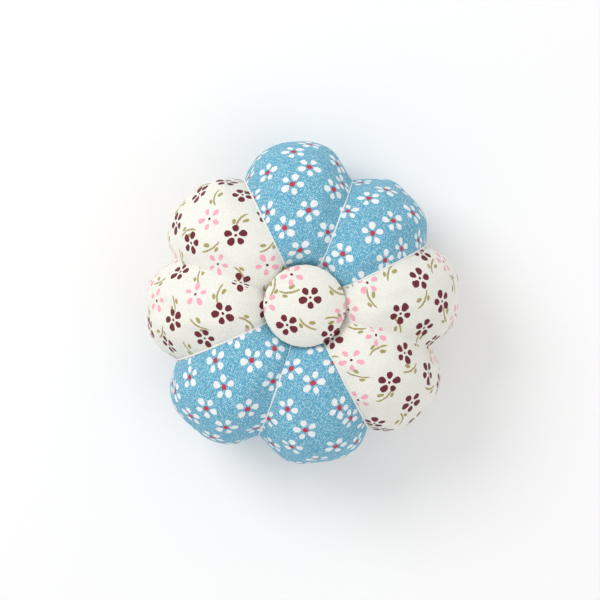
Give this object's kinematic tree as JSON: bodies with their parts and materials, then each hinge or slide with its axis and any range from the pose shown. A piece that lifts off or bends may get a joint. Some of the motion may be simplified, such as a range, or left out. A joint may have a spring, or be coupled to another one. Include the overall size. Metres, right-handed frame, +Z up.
{
  "type": "pin cushion",
  "caption": "Pumpkin-shaped stuffed pin cushion with lobes of blue and cream flowered cotton, white cords in the grooves and a cloth-covered button on top.",
  "frame": {"origin": "on the table, below the middle of the cushion's box, within half a millimetre of the axis of the core", "axes": "+Z up through the covered button, +Y towards the first of the two blue lobes that are the front panel"},
  "size_m": [0.0792, 0.0816, 0.0427],
  "materials": {
    "blue_print": "matt",
    "cream_print": "matt",
    "white_cord": "matt",
    "white_thread": "matt",
    "white_fibre": "matt",
    "button_metal": "satin",
    "button_plastic": "satin"
  },
  "bodies": {
    "root": {"blue_front_panel": "blue_print", "cream_right_panel": "cream_print", "blue_back_panel": "blue_print", "cream_left_panel": "cream_print", "groove_cord_1": "white_cord", "groove_cord_2": "white_cord", "groove_cord_3": "white_cord", "groove_cord_4": "white_cord", "groove_cord_5": "white_cord", "groove_cord_6": "white_cord", "groove_cord_7": "white_cord", "groove_cord_8": "white_cord", "seam_thread_1": "white_thread", "seam_thread_2": "white_thread", "seam_thread_3": "white_thread", "seam_thread_4": "white_thread", "top_gathering_thread": "white_thread", "base_gathering_thread": "white_thread", "tie_thread": "white_thread", "tie_knot": "white_thread", "fibre_filling": "white_fibre", "button_cloth": "cream_print", "button_shell": "button_metal", "button_back_plate": "button_metal", "button_shank": "button_metal", "base_button": "button_plastic"}
  },
  "joints": []
}
